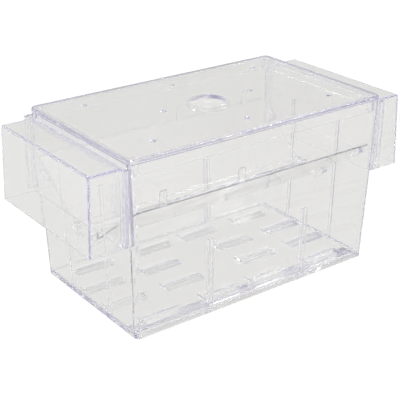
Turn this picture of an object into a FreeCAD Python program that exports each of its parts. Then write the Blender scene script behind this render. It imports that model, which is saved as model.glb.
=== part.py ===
# Floating breeding box for livebearing aquarium fish.
#
# A clear tapered tank carries an air-filled float at each end, two sloping panels that form a
# V-shaped trap inside it, and a flat lid with a feed hole. Young fish drop through the slit
# between the panels into the lower chamber.
#
# Frame: origin at the centre of the tank's underside, X along the tank's length, Y across it,
# Z up. Units are mm.

import FreeCAD, Part
import math
import os

os.makedirs("parts", exist_ok=True)

# --- Driving dimensions -------------------------------------------------------------------------

# Widest gap between two coordinates that still count as equal
TOLERANCE = 0.01

# Tank: outside half sizes at the underside and at the rim
TANK_HEIGHT = 118.0
BASE_HALF_LENGTH = 96.0
BASE_HALF_WIDTH = 55.6
RIM_HALF_LENGTH = 100.0
RIM_HALF_WIDTH = 59.6
WALL = 2.0
FLOOR = 3.0
FLOOR_FILLET = 1.6
CORNER_RADIUS = 4.0
SMALLEST_CORNER_RADIUS = 1.0

# Underside: an edge bevel all round, and a shallow groove inside a foot rim along each long side
EDGE_BEVEL = 0.6
FOOT_RIM = 1.8
GROOVE_DEEPEST = 5.4
GROOVE_WIDTH = 14.0
GROOVE_DEPTH = 1.8
GROOVE_HALF_LENGTH = 92.0

# Floor slots: a low ridge on the floor with a narrow slit along its crest
RIDGE_LENGTH = 30.0
RIDGE_HALF_WIDTH = 7.0
RIDGE_HEIGHT = 1.4
SLIT_LENGTH = 27.0
SLIT_WIDTH = 1.6
OUTER_ROW_Y = 40.0
OUTER_ROW_X = (20.0, 68.0)
INNER_ROW_Y = 13.3
INNER_ROW_X = (32.0, 76.0)

# Ribs inside the walls
RIB_DEPTH = 2.2
RIB_THICKNESS = 1.2
RIB_PAIR_X = 39.0
RIB_PAIR_SPACING = 3.0
RIB_PAIR_TOP = 53.0
END_RIB_Y = 23.0
END_RIB_THICKNESS = 1.5
END_RIB_TOP = 94.0

# Trap panels: the upper face runs from the wall down to the slit
PANEL_HALF_LENGTH = 93.0
PANEL_THICKNESS = 1.0
PANEL_EDGE_Y = 55.9
PANEL_EDGE_Z = 87.0
PANEL_FOOT_Y = 10.5
PANEL_SLOPE = 0.76
LIP_THICKNESS = 1.8
LIP_HEIGHT = 4.0
TAB_X = (16.0, 75.3)
TAB_WIDTH = 5.0
TAB_THICKNESS = 1.6
TAB_HEIGHT = 9.0
TAB_ROUNDING = 0.7

# Pads on the end walls, which carry the panels: two under each panel's end, the lower with a toe
# that stops its foot
PAD_DEPTH = 4.5
PAD_THICKNESS = 2.0
PAD_GAP = 0.1
UPPER_PAD_Y = (43.0, 49.0)
LOWER_PAD_END_Y = 15.0
TOE_THICKNESS = 1.8
TOE_HEIGHT = 4.5

# Lid
LID_THICKNESS = 3.0
LID_BEVEL = 0.7
SKIRT_HEIGHT = 8.0
SKIRT_THICKNESS = 1.6
SKIRT_GAP = 0.5
SKIRT_POST = 5.0
FEED_HOLE_RADIUS = 12.5
FEED_COLLAR_THICKNESS = 1.5
FEED_COLLAR_HEIGHT = 2.5
AIR_HOLE_RADIUS = 1.5
AIR_HOLE_BEVEL = 0.5
AIR_HOLES = ((70.5, 40.0), (70.5, -40.0), (-70.5, 40.0), (-70.5, -40.0),
             (0.0, 41.0), (0.0, -41.0), (35.5, 0.0), (-35.5, 0.0))

# Floats: the outer face leans out towards the open bottom
FLOAT_TOP = 115.2
FLOAT_BOTTOM = 64.5
FLOAT_BACK = 100.4
FLOAT_OUTER_TOP = 123.8
FLOAT_OUTER_BOTTOM = 125.5
FLOAT_HALF_WIDTH_TOP = 54.0
FLOAT_HALF_WIDTH_BOTTOM = 54.6
FLOAT_WALL = 1.8
FLANGE_HALF_WIDTH = 56.6
FLANGE_THICKNESS = 2.0

# Float guides: upright channels on the end walls, one at each corner of the tank
GUIDE_TOP = 115.7
GUIDE_BOTTOM = 66.6
GUIDE_FLOOR = 68.4
GUIDE_INNER_Y = 55.0
GUIDE_OUTER_TOP = 104.4
GUIDE_OUTER_BOTTOM = 105.0
GUIDE_CLEARANCE = 0.3
GUIDE_SIDE_INSET = 0.2
GUIDE_SLOT_HALF_WIDTH = FLANGE_HALF_WIDTH + GUIDE_CLEARANCE


# --- Helpers ------------------------------------------------------------------------------------

def vec(x, y, z):
    return FreeCAD.Vector(x, y, z)


def box(x0, x1, y0, y1, z0, z1):
    return Part.makeBox(x1 - x0, y1 - y0, z1 - z0, vec(x0, y0, z0))


def rounded_outline(half_x, half_y, radius, z):
    """Closed wire of a rectangle with rounded corners, centred on the Z axis."""
    ix = half_x - radius
    iy = half_y - radius
    cut = radius * math.sqrt(0.5)
    edges = []
    for sx, sy in ((1, 1), (-1, 1), (-1, -1), (1, -1)):
        along_x = vec(sx * ix, sy * half_y, z)
        along_y = vec(sx * half_x, sy * iy, z)
        middle = vec(sx * (ix + cut), sy * (iy + cut), z)
        start, end = (along_y, along_x) if sx * sy > 0 else (along_x, along_y)
        edges.append(Part.Arc(start, middle, end).toShape())
    sides = []
    for k in range(4):
        here = edges[k].Vertexes[-1].Point
        following = edges[(k + 1) % 4].Vertexes[0].Point
        sides.append(Part.makeLine(here, following))
    return Part.Wire([edge for pair in zip(edges, sides) for edge in pair])


def half_length(z, inset=0.0):
    """Half length of the tank's outside at a height, less an inset."""
    return BASE_HALF_LENGTH + (RIM_HALF_LENGTH - BASE_HALF_LENGTH) * z / TANK_HEIGHT - inset


def half_width(z, inset=0.0):
    """Half width of the tank's outside at a height, less an inset."""
    return BASE_HALF_WIDTH + (RIM_HALF_WIDTH - BASE_HALF_WIDTH) * z / TANK_HEIGHT - inset


def tapered_block(z0, z1, inset):
    """Solid with the tank's taper between two heights, inset from its outside."""
    radius = max(CORNER_RADIUS - inset, SMALLEST_CORNER_RADIUS)
    low = rounded_outline(half_length(z0, inset), half_width(z0, inset), radius, z0)
    high = rounded_outline(half_length(z1, inset), half_width(z1, inset), radius, z1)
    return Part.makeLoft([low, high], True, True)


def prism_x(points_yz, x0, x1):
    """Solid with a polygon outline in the YZ plane, from x0 to x1."""
    points = [vec(x0, y, z) for y, z in points_yz]
    face = Part.Face(Part.makePolygon(points + points[:1]))
    return face.extrude(vec(x1 - x0, 0, 0))


def frustum(low, high, z0, z1):
    """Solid between two rectangles (x0, x1, y0, y1), one at each height."""
    wires = []
    for (x0, x1, y0, y1), z in ((low, z0), (high, z1)):
        corners = [vec(x0, y0, z), vec(x1, y0, z), vec(x1, y1, z), vec(x0, y1, z)]
        wires.append(Part.makePolygon(corners + corners[:1]))
    return Part.makeLoft(wires, True, True)


def turned(shape):
    """Copy of a shape turned half a turn about the Z axis."""
    copy = shape.copy()
    copy.rotate(vec(0, 0, 0), vec(0, 0, 1), 180)
    return copy


def mirrored_y(shape):
    return shape.mirror(vec(0, 0, 0), vec(0, 1, 0))


def fused(shapes):
    return shapes[0].multiFuse(shapes[1:]).removeSplitter()


def panel_top(y):
    """Height of a trap panel's upper face at a distance from the centre plane."""
    return PANEL_EDGE_Z - PANEL_SLOPE * (PANEL_EDGE_Y - y)


def save(shape, node):
    """Write one sub-part and report its volume."""
    if not shape.isValid() or len(shape.Solids) != 1:
        raise ValueError(node + " is not one valid solid")
    shape.Solids[0].exportStep("parts/" + node + ".step")
    size = shape.BoundBox
    print(node, "volume", round(shape.Volume), "mm3, X", round(size.XMin, 1), round(size.XMax, 1),
          "Y", round(size.YMin, 1), round(size.YMax, 1), "Z", round(size.ZMin, 1), round(size.ZMax, 1))


# --- Tank ---------------------------------------------------------------------------------------

def tank_outside():
    """The tank's outer form: tapered, with rounded upright corners and a bevelled lower edge."""
    sections = []
    for z, inset in ((0.0, EDGE_BEVEL), (EDGE_BEVEL, 0.0), (TANK_HEIGHT, 0.0)):
        sections.append(rounded_outline(half_length(z, inset), half_width(z, inset),
                                        CORNER_RADIUS - inset, z))
    return Part.makeLoft(sections, True, True)


def underside_grooves():
    """Cutters for the two grooves: each is steep beside the foot rim and shallow towards the middle."""
    outline = [(BASE_HALF_WIDTH - FOOT_RIM, 0.0),
               (BASE_HALF_WIDTH - GROOVE_DEEPEST, GROOVE_DEPTH),
               (BASE_HALF_WIDTH - FOOT_RIM - GROOVE_WIDTH, 0.0)]
    groove = prism_x(outline, -GROOVE_HALF_LENGTH, GROOVE_HALF_LENGTH)
    return [groove, mirrored_y(groove)]


def tank_inside():
    """The tank's cavity, open at the rim, with a fillet all round the floor."""
    inside = tapered_block(FLOOR, TANK_HEIGHT + 1, WALL)
    floor_edges = [edge for edge in inside.Edges if edge.BoundBox.ZMax < FLOOR + TOLERANCE]
    return inside.makeFillet(FLOOR_FILLET, floor_edges)


def wall_ribs(outside):
    """Rib pairs on the long walls and single ribs on the end walls, all of one depth."""
    wall_zone = outside.cut(tapered_block(0, TANK_HEIGHT + 1, WALL + RIB_DEPTH))
    ribs = []
    for x_pair in (-RIB_PAIR_X, RIB_PAIR_X):
        for x in (x_pair - RIB_PAIR_SPACING / 2, x_pair + RIB_PAIR_SPACING / 2):
            for y in (-RIM_HALF_WIDTH, RIM_HALF_WIDTH / 2):
                ribs.append(box(x - RIB_THICKNESS / 2, x + RIB_THICKNESS / 2,
                                y, y + RIM_HALF_WIDTH / 2, FLOOR / 2, RIB_PAIR_TOP))
    for y in (-END_RIB_Y, END_RIB_Y):
        for x in (-RIM_HALF_LENGTH, RIM_HALF_LENGTH / 2):
            ribs.append(box(x, x + RIM_HALF_LENGTH / 2,
                            y - END_RIB_THICKNESS / 2, y + END_RIB_THICKNESS / 2, FLOOR / 2, END_RIB_TOP))
    return [rib.common(wall_zone) for rib in ribs]


def panel_pads(outside):
    """Eight pads on the end walls with sloping tops, the lower four each with an upturned toe."""
    wall_zone = outside.cut(tapered_block(0, TANK_HEIGHT + 1, WALL + PAD_DEPTH))
    drop = (PANEL_THICKNESS + PAD_GAP) * math.hypot(1, PANEL_SLOPE)
    base_drop = drop + PAD_THICKNESS * math.hypot(1, PANEL_SLOPE)
    toe_outer = PANEL_FOOT_Y - LIP_THICKNESS - PAD_GAP
    toe_inner = toe_outer - TOE_THICKNESS
    toe_top = panel_top(toe_outer) - drop + TOE_HEIGHT
    low_y, high_y = UPPER_PAD_Y
    upper = [(high_y, panel_top(high_y) - drop),
             (low_y, panel_top(low_y) - drop),
             (low_y, panel_top(low_y) - base_drop),
             (high_y, panel_top(high_y) - base_drop)]
    lower = [(LOWER_PAD_END_Y, panel_top(LOWER_PAD_END_Y) - drop),
             (toe_outer, panel_top(toe_outer) - drop),
             (toe_outer, toe_top),
             (toe_inner, toe_top),
             (toe_inner, panel_top(toe_inner) - base_drop),
             (LOWER_PAD_END_Y, panel_top(LOWER_PAD_END_Y) - base_drop)]
    pads = []
    for x in (-RIM_HALF_LENGTH, RIM_HALF_LENGTH / 2):
        for outline in (upper, lower):
            pad = prism_x(outline, x, x + RIM_HALF_LENGTH / 2).common(wall_zone)
            pads += [pad, mirrored_y(pad)]
    return pads


def float_guides():
    """Four upright channels that hold the floats' flanges, open on top and closed at the foot."""
    low_x = half_length(GUIDE_BOTTOM) - WALL / 2
    high_x = half_length(GUIDE_TOP) - WALL / 2
    low_y = half_width(GUIDE_BOTTOM, GUIDE_SIDE_INSET)
    high_y = half_width(GUIDE_TOP, GUIDE_SIDE_INSET)
    body = frustum((low_x, GUIDE_OUTER_BOTTOM, GUIDE_INNER_Y, low_y),
                   (high_x, GUIDE_OUTER_TOP, GUIDE_INNER_Y, high_y), GUIDE_BOTTOM, GUIDE_TOP)
    slot_back = FLOAT_BACK - GUIDE_CLEARANCE
    slot_front = FLOAT_BACK + FLANGE_THICKNESS + GUIDE_CLEARANCE
    slot = box(slot_back, slot_front, 0, GUIDE_SLOT_HALF_WIDTH, GUIDE_FLOOR, TANK_HEIGHT)
    guide = body.cut(slot)
    pair = [guide, mirrored_y(guide)]
    return pair + [turned(each) for each in pair]


def slot_centres():
    """Plan positions of the floor slots: four rows, mirrored about both centre planes."""
    centres = []
    for row_y, row_x in ((OUTER_ROW_Y, OUTER_ROW_X), (INNER_ROW_Y, INNER_ROW_X)):
        for y in (-row_y, row_y):
            centres += [(x, y) for x in [-each for each in row_x] + list(row_x)]
    return centres


def floor_ridges():
    """Low ridges with sloping sides, one along each floor slot."""
    ridges = []
    for x, y in slot_centres():
        outline = [(y - RIDGE_HALF_WIDTH, FLOOR), (y, FLOOR + RIDGE_HEIGHT), (y + RIDGE_HALF_WIDTH, FLOOR),
                   (y + RIDGE_HALF_WIDTH, FLOOR / 2), (y - RIDGE_HALF_WIDTH, FLOOR / 2)]
        ridges.append(prism_x(outline, x - RIDGE_LENGTH / 2, x + RIDGE_LENGTH / 2))
    return ridges


def floor_slits():
    """Cutters for the slit along each ridge's crest."""
    return [box(x - SLIT_LENGTH / 2, x + SLIT_LENGTH / 2, y - SLIT_WIDTH / 2, y + SLIT_WIDTH / 2,
                -1, FLOOR + RIDGE_HEIGHT + 1) for x, y in slot_centres()]


def make_tank():
    outside = tank_outside()
    shell = outside.cut(tank_inside())
    shell = fused([shell] + wall_ribs(outside) + panel_pads(outside) + float_guides() + floor_ridges())
    for cutter in floor_slits() + underside_grooves():
        shell = shell.cut(cutter)
    return shell


# --- Trap panels --------------------------------------------------------------------------------

def inner_edges(tab):
    """The edges of a tab round its face towards the tank's middle, apart from the foot."""
    inner_y = PANEL_EDGE_Y - TAB_THICKNESS
    return [edge for edge in tab.Edges
            if abs(edge.CenterOfMass.y - inner_y) < TOLERANCE and edge.CenterOfMass.z > PANEL_EDGE_Z]


def make_panel():
    """Back panel: a sloping plate with a lip along its foot and two upright tabs on its upper edge."""
    drop = PANEL_THICKNESS * math.hypot(1, PANEL_SLOPE)
    foot = PANEL_FOOT_Y - LIP_THICKNESS
    outline = [(PANEL_EDGE_Y, panel_top(PANEL_EDGE_Y)),
               (PANEL_FOOT_Y, panel_top(PANEL_FOOT_Y)),
               (PANEL_FOOT_Y, panel_top(PANEL_FOOT_Y) + LIP_HEIGHT),
               (foot, panel_top(PANEL_FOOT_Y) + LIP_HEIGHT),
               (foot, panel_top(foot) - drop),
               (PANEL_EDGE_Y, panel_top(PANEL_EDGE_Y) - drop)]
    pieces = [prism_x(outline, -PANEL_HALF_LENGTH, PANEL_HALF_LENGTH)]
    for x in TAB_X:
        tab = box(x - TAB_WIDTH / 2, x + TAB_WIDTH / 2, PANEL_EDGE_Y - TAB_THICKNESS, PANEL_EDGE_Y,
                  PANEL_EDGE_Z - PANEL_THICKNESS, PANEL_EDGE_Z + TAB_HEIGHT)
        pieces.append(tab.makeFillet(TAB_ROUNDING, inner_edges(tab)))
    return fused(pieces)


# --- Lid ----------------------------------------------------------------------------------------

def ring_block(z0, z1, half_x, half_y, radius):
    """Upright block with a rounded rectangular outline."""
    low = rounded_outline(half_x, half_y, radius, z0)
    return Part.Face(low).extrude(vec(0, 0, z1 - z0))


def lid_plate():
    """Plate flush with the tank's rim, with a bevel round its upper edge."""
    top = TANK_HEIGHT + LID_THICKNESS
    sections = []
    for z, inset in ((TANK_HEIGHT, 0.0), (top - LID_BEVEL, 0.0), (top, LID_BEVEL)):
        sections.append(rounded_outline(RIM_HALF_LENGTH - inset, RIM_HALF_WIDTH - inset,
                                        CORNER_RADIUS - inset, z))
    return Part.makeLoft(sections, True, True)


def lid_skirt():
    """Plug skirt that drops inside the rim, with a square post in each corner."""
    foot = TANK_HEIGHT - SKIRT_HEIGHT
    out_x = half_length(foot, WALL + SKIRT_GAP)
    out_y = half_width(foot, WALL + SKIRT_GAP)
    in_x = out_x - SKIRT_THICKNESS
    in_y = out_y - SKIRT_THICKNESS
    radius = CORNER_RADIUS - WALL
    block = ring_block(foot, TANK_HEIGHT, out_x, out_y, radius)
    skirt = block.cut(ring_block(foot, TANK_HEIGHT, in_x, in_y, radius / 2))
    posts = []
    for sx in (-1, 1):
        for sy in (-1, 1):
            post = Part.makeBox(SKIRT_POST, SKIRT_POST, SKIRT_HEIGHT,
                                vec(sx * (out_x - SKIRT_POST / 2) - SKIRT_POST / 2,
                                    sy * (out_y - SKIRT_POST / 2) - SKIRT_POST / 2, foot))
            posts.append(post.common(block))
    return [skirt] + posts


def make_lid():
    top = TANK_HEIGHT + LID_THICKNESS
    collar = Part.makeCylinder(FEED_HOLE_RADIUS + FEED_COLLAR_THICKNESS,
                               LID_THICKNESS + FEED_COLLAR_HEIGHT,
                               vec(0, 0, TANK_HEIGHT - FEED_COLLAR_HEIGHT))
    lid = fused([lid_plate()] + lid_skirt() + [collar])
    holes = [Part.makeCylinder(FEED_HOLE_RADIUS, TANK_HEIGHT, vec(0, 0, TANK_HEIGHT / 2))]
    for x, y in AIR_HOLES:
        holes.append(Part.makeCylinder(AIR_HOLE_RADIUS, top, vec(x, y, TANK_HEIGHT / 2)))
        holes.append(Part.makeCone(AIR_HOLE_RADIUS, AIR_HOLE_RADIUS + AIR_HOLE_BEVEL, AIR_HOLE_BEVEL,
                                   vec(x, y, top - AIR_HOLE_BEVEL)))
    for hole in holes:
        lid = lid.cut(hole)
    return lid


# --- Floats -------------------------------------------------------------------------------------

def make_right_float():
    """Air cup, closed on top and open below, with an upright flange down each side of its back wall."""
    outside = frustum((FLOAT_BACK, FLOAT_OUTER_BOTTOM, -FLOAT_HALF_WIDTH_BOTTOM, FLOAT_HALF_WIDTH_BOTTOM),
                      (FLOAT_BACK, FLOAT_OUTER_TOP, -FLOAT_HALF_WIDTH_TOP, FLOAT_HALF_WIDTH_TOP),
                      FLOAT_BOTTOM, FLOAT_TOP)
    fillet_edges = []
    for edge in outside.Edges:
        middle = edge.CenterOfMass
        outer_upright = middle.x > FLOAT_OUTER_TOP - 1 and abs(middle.y) > FLOAT_HALF_WIDTH_TOP - 1
        top_outer = middle.z > FLOAT_TOP - 1 and middle.x > FLOAT_BACK + 1
        if outer_upright or top_outer:
            fillet_edges.append(edge)
    outside = outside.makeFillet(FLOAT_WALL, fillet_edges)
    inside = frustum((FLOAT_BACK + FLANGE_THICKNESS, FLOAT_OUTER_BOTTOM - FLOAT_WALL,
                      -FLOAT_HALF_WIDTH_BOTTOM + FLOAT_WALL, FLOAT_HALF_WIDTH_BOTTOM - FLOAT_WALL),
                     (FLOAT_BACK + FLANGE_THICKNESS, FLOAT_OUTER_TOP - FLOAT_WALL,
                      -FLOAT_HALF_WIDTH_TOP + FLOAT_WALL, FLOAT_HALF_WIDTH_TOP - FLOAT_WALL),
                     FLOAT_BOTTOM, FLOAT_TOP - FLOAT_WALL)
    flange = box(FLOAT_BACK, FLOAT_BACK + FLANGE_THICKNESS, -FLANGE_HALF_WIDTH, FLANGE_HALF_WIDTH,
                 GUIDE_FLOOR, FLOAT_TOP)
    return fused([outside.cut(inside), flange])


# --- Build --------------------------------------------------------------------------------------

panel = make_panel()
right_float = make_right_float()
save(make_tank(), "tank")
save(make_lid(), "lid")
save(panel, "trap_back_panel")
save(turned(panel), "trap_front_panel")
save(right_float, "right_float")
save(turned(right_float), "left_float")
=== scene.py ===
import math

import bpy
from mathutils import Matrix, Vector


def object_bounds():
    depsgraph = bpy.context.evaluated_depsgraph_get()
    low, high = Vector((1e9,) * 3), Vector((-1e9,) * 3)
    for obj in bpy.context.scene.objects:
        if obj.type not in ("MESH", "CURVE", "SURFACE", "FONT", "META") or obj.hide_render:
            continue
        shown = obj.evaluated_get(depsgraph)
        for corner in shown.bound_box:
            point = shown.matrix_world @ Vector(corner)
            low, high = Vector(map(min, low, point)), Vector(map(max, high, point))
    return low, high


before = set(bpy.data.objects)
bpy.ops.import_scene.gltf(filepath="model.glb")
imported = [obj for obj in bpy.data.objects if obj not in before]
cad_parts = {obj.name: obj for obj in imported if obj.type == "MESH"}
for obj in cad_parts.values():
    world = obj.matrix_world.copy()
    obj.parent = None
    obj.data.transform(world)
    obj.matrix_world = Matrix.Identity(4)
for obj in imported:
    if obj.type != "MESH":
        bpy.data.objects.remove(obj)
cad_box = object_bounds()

# Camera: it looks down at the box from its left front corner. Lengths are metres, angles degrees.
CAMERA_AZIMUTH = -36.57
CAMERA_ELEVATION = 24.22
CAMERA_DISTANCE = 0.7204
CAMERA_SIDE = -0.00525
CAMERA_RISE = 0.04494
CAMERA_LENS = 91.87
SENSOR_WIDTH = 36.0

# Clear polystyrene. Each surface has a painted glow: a very faint lavender emission that stands in for
# light scattered out of the plastic.
# It adds up only where a sight line is trapped inside a wall, so it paints a soft light glow along
# edges.
PLASTIC_IOR = 1.57
EDGE_TINT = (0.50, 0.45, 0.76, 1.0)
EDGE_DENSITY = 3.2
EDGE_ROUNDING = 0.0005
# Colour of the painted glow, the faint emission on every plastic surface
PAINTED_GLOW_COLOUR = (0.80, 0.77, 1.0, 1.0)

# Flow ripples: soft noise that bumps the surface and shifts its tone slightly
RIPPLE_DETAIL = 2.0
RIPPLE_ROUGHNESS = 0.4
RIPPLE_STRENGTH = 0.25
TONE_RANGE = (0.35, 0.65)
TONE_LOW = (0.985, 0.985, 0.975, 1.0)
TONE_HIGH = (0.998, 0.998, 0.995, 1.0)

# Hairline scuffs: noise stretched into slanting lines, which bumps and dulls the surface
SCRATCH_SCALE = (40.0, 900.0, 260.0)
SCRATCH_SLANT = (0.3, 0.2, 0.5)
SCRATCH_DETAIL = 4.0
SCRATCH_ROUGHNESS = 0.6
SCRATCH_STRENGTH = 0.15
DULLING_RANGE = (0.45, 0.75)
SURFACE_ROUGHNESS = (0.01, 0.05)

# Floor brightness, beside a pure white of 1
FLOOR_COLOUR = (1.0, 1.0, 0.975, 1.0)
FLOOR_SEEN = 1.04
FLOOR_THROUGH_PLASTIC = 0.775

# Floor size: how far it reaches each way, and how far it lies under the box
FLOOR_REACH = 6.0
FLOOR_DROP = 0.0004

# Room brightness. It has its middle tone between two heights, where 0 is the horizon and 1 is
# straight up, and blends to the others beyond them.
ROOM_BELOW = (1.0, 1.0, 1.0, 1.0)
ROOM_AROUND = (0.64, 0.64, 0.62, 1.0)
ROOM_OVERHEAD = (1.4, 1.4, 1.4, 1.0)
ROOM_AROUND_FROM = 0.3
ROOM_AROUND_TO = 0.75

# Softboxes that face the box: name, position, side length in metres and power in watts
SOFTBOXES = (
    ("key", (-0.5, -0.45, 1.6), 0.3, 16.0),
    ("fill", (1.0, -0.8, 1.1), 0.3, 9.0),
    ("right", (1.3, 0.25, 0.8), 0.25, 7.0),
    ("behind", (-0.25, 1.1, 1.2), 0.25, 7.0),
)

# A sight line crosses many thin clear walls, and can turn back and forth inside one of them
BOUNCES = 96
TRANSPARENT_BOUNCES = 40


# --- Node helpers -------------------------------------------------------------------------------

def add_node(tree, kind, **inputs):
    """Add a node and set its inputs, which are named with underscores for spaces."""
    node = tree.nodes.new(kind)
    for name, value in inputs.items():
        node.inputs[name.replace("_", " ")].default_value = value
    return node


def clear_plastic(name, clarity, painted_glow, ripple_scale, ripple_height, scratch_height):
    """Clear moulded polystyrene: soft edges, flow ripples, scuffs, a violet tint on long paths and a
    faint painted glow on every surface.
    """
    material = bpy.data.materials.new(name)
    material.use_nodes = True
    tree = material.node_tree
    tree.nodes.clear()
    link = tree.links.new
    output = add_node(tree, "ShaderNodeOutputMaterial")
    shader = add_node(tree, "ShaderNodeBsdfPrincipled")
    shader.inputs["Transmission Weight"].default_value = clarity
    shader.inputs["IOR"].default_value = PLASTIC_IOR
    # Painted glow: a faint emission on the plastic, which is no lamp, so trapped sight lines light up
    # along edges
    shader.inputs["Emission Color"].default_value = PAINTED_GLOW_COLOUR
    shader.inputs["Emission Strength"].default_value = painted_glow
    place = add_node(tree, "ShaderNodeTexCoord")

    soft_edge = add_node(tree, "ShaderNodeBevel", Radius=EDGE_ROUNDING)
    ripples = add_node(tree, "ShaderNodeTexNoise",
                       Scale=ripple_scale, Detail=RIPPLE_DETAIL, Roughness=RIPPLE_ROUGHNESS)
    link(place.outputs["Object"], ripples.inputs["Vector"])
    ripple_bump = add_node(tree, "ShaderNodeBump", Strength=RIPPLE_STRENGTH, Distance=ripple_height)
    link(ripples.outputs["Fac"], ripple_bump.inputs["Height"])
    link(soft_edge.outputs["Normal"], ripple_bump.inputs["Normal"])

    stretch = add_node(tree, "ShaderNodeMapping", Scale=SCRATCH_SCALE, Rotation=SCRATCH_SLANT)
    link(place.outputs["Object"], stretch.inputs["Vector"])
    scratches = add_node(tree, "ShaderNodeTexNoise",
                         Scale=1.0, Detail=SCRATCH_DETAIL, Roughness=SCRATCH_ROUGHNESS)
    link(stretch.outputs["Vector"], scratches.inputs["Vector"])
    scratch_bump = add_node(tree, "ShaderNodeBump", Strength=SCRATCH_STRENGTH, Distance=scratch_height)
    link(scratches.outputs["Fac"], scratch_bump.inputs["Height"])
    link(ripple_bump.outputs["Normal"], scratch_bump.inputs["Normal"])
    link(scratch_bump.outputs["Normal"], shader.inputs["Normal"])

    gloss = add_node(tree, "ShaderNodeMapRange",
                     From_Min=DULLING_RANGE[0], From_Max=DULLING_RANGE[1],
                     To_Min=SURFACE_ROUGHNESS[0], To_Max=SURFACE_ROUGHNESS[1])
    link(scratches.outputs["Fac"], gloss.inputs["Value"])
    link(gloss.outputs["Result"], shader.inputs["Roughness"])

    tone = add_node(tree, "ShaderNodeValToRGB")
    for stop, position, colour in zip(tone.color_ramp.elements, TONE_RANGE, (TONE_LOW, TONE_HIGH)):
        stop.position = position
        stop.color = colour
    link(ripples.outputs["Fac"], tone.inputs["Fac"])
    link(tone.outputs["Color"], shader.inputs["Base Color"])

    inside = add_node(tree, "ShaderNodeVolumeAbsorption", Color=EDGE_TINT, Density=EDGE_DENSITY)
    link(shader.outputs["BSDF"], output.inputs["Surface"])
    link(inside.outputs["Volume"], output.inputs["Volume"])
    return material


# --- Materials on the moulded parts -------------------------------------------------------------

# The glow strength given to each finish paints a faint emission onto the plastic, a painted glow along
# its edges
FINISHES = {
    "tank": clear_plastic("clear_tank", clarity=0.992, painted_glow=0.010,
                          ripple_scale=22.0, ripple_height=0.0006, scratch_height=0.00004),
    "lid": clear_plastic("clear_lid", clarity=0.997, painted_glow=0.009,
                         ripple_scale=26.0, ripple_height=0.0006, scratch_height=0.00005),
    "trap_front_panel": clear_plastic("clear_front_panel", clarity=0.98, painted_glow=0.004,
                                      ripple_scale=30.0, ripple_height=0.0005, scratch_height=0.00004),
    "trap_back_panel": clear_plastic("clear_back_panel", clarity=0.997, painted_glow=0.008,
                                     ripple_scale=30.0, ripple_height=0.0005, scratch_height=0.00004),
    "left_float": clear_plastic("clear_float", clarity=0.997, painted_glow=0.010,
                                ripple_scale=34.0, ripple_height=0.0005, scratch_height=0.00004),
}
FINISHES["right_float"] = FINISHES["left_float"]
for node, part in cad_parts.items():
    part.data.materials.clear()
    part.data.materials.append(FINISHES[node])


# --- Floor, light and camera --------------------------------------------------------------------

def make_floor():
    """Glowing floor: pure white when seen directly, and a little greyer through the plastic."""
    mesh = bpy.data.meshes.new("floor")
    corners = [(-FLOOR_REACH, -FLOOR_REACH, 0), (FLOOR_REACH, -FLOOR_REACH, 0),
               (FLOOR_REACH, FLOOR_REACH, 0), (-FLOOR_REACH, FLOOR_REACH, 0)]
    mesh.from_pydata(corners, [], [(0, 1, 2, 3)])
    floor = bpy.data.objects.new("floor", mesh)
    floor.location.z = cad_box[0].z - FLOOR_DROP
    bpy.context.scene.collection.objects.link(floor)
    material = bpy.data.materials.new("pale_floor")
    material.use_nodes = True
    tree = material.node_tree
    tree.nodes.clear()
    output = add_node(tree, "ShaderNodeOutputMaterial")
    ray = add_node(tree, "ShaderNodeLightPath")
    bright = add_node(tree, "ShaderNodeMapRange", To_Min=FLOOR_THROUGH_PLASTIC, To_Max=FLOOR_SEEN)
    tree.links.new(ray.outputs["Is Camera Ray"], bright.inputs["Value"])
    glow = add_node(tree, "ShaderNodeEmission", Color=FLOOR_COLOUR)
    tree.links.new(bright.outputs["Result"], glow.inputs["Strength"])
    tree.links.new(glow.outputs["Emission"], output.inputs["Surface"])
    mesh.materials.append(material)


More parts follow.
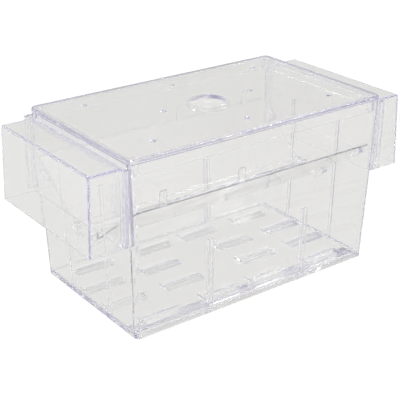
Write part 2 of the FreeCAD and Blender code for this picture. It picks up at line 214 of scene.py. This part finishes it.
def make_world():
    """Room light: white below, greyer all round so that edges read, and brightest overhead."""
    world = bpy.data.worlds.new("studio")
    bpy.context.scene.world = world
    world.use_nodes = True
    tree = world.node_tree
    background = tree.nodes["Background"]
    place = add_node(tree, "ShaderNodeTexCoord")
    split = add_node(tree, "ShaderNodeSeparateXYZ")
    tree.links.new(place.outputs["Generated"], split.inputs["Vector"])
    ramp = add_node(tree, "ShaderNodeValToRGB")
    stops = ramp.color_ramp.elements
    stops[0].position = 0.0
    stops[0].color = ROOM_BELOW
    stops[1].position = ROOM_AROUND_FROM
    stops[1].color = ROOM_AROUND
    stops.new(ROOM_AROUND_TO).color = ROOM_AROUND
    stops.new(1.0).color = ROOM_OVERHEAD
    tree.links.new(split.outputs["Z"], ramp.inputs["Fac"])
    tree.links.new(ramp.outputs["Color"], background.inputs["Color"])
    background.inputs["Strength"].default_value = 1.0


def add_softbox(name, position, target, size, power):
    """Square area light that faces a point."""
    light = bpy.data.lights.new(name, "AREA")
    light.shape = "SQUARE"
    light.size = size
    light.energy = power
    lamp = bpy.data.objects.new(name, light)
    lamp.location = position
    lamp.rotation_mode = "QUATERNION"
    lamp.rotation_quaternion = (Vector(target) - Vector(position)).to_track_quat("-Z", "Y")
    bpy.context.scene.collection.objects.link(lamp)


def make_camera():
    """Camera at its distance from the origin, moved sideways and up without turning."""
    azimuth = math.radians(CAMERA_AZIMUTH)
    elevation = math.radians(CAMERA_ELEVATION)
    back = Vector((math.sin(azimuth) * math.cos(elevation),
                   -math.cos(azimuth) * math.cos(elevation),
                   math.sin(elevation)))
    right = Vector((math.cos(azimuth), math.sin(azimuth), 0.0))
    rise = back.cross(right)
    data = bpy.data.cameras.new("camera")
    data.lens = CAMERA_LENS
    data.sensor_width = SENSOR_WIDTH
    camera = bpy.data.objects.new("camera", data)
    camera.location = back * CAMERA_DISTANCE + right * CAMERA_SIDE + rise * CAMERA_RISE
    camera.rotation_mode = "QUATERNION"
    camera.rotation_quaternion = (-back).to_track_quat("-Z", "Y")
    bpy.context.scene.collection.objects.link(camera)
    bpy.context.scene.camera = camera


centre = (cad_box[0] + cad_box[1]) / 2
make_floor()
make_world()
for name, position, size, power in SOFTBOXES:
    add_softbox(name, position, centre, size, power)
make_camera()

scene = bpy.context.scene
scene.view_settings.view_transform = "Standard"
scene.cycles.max_bounces = BOUNCES
scene.cycles.transmission_bounces = BOUNCES
scene.cycles.glossy_bounces = BOUNCES
scene.cycles.transparent_max_bounces = TRANSPARENT_BOUNCES
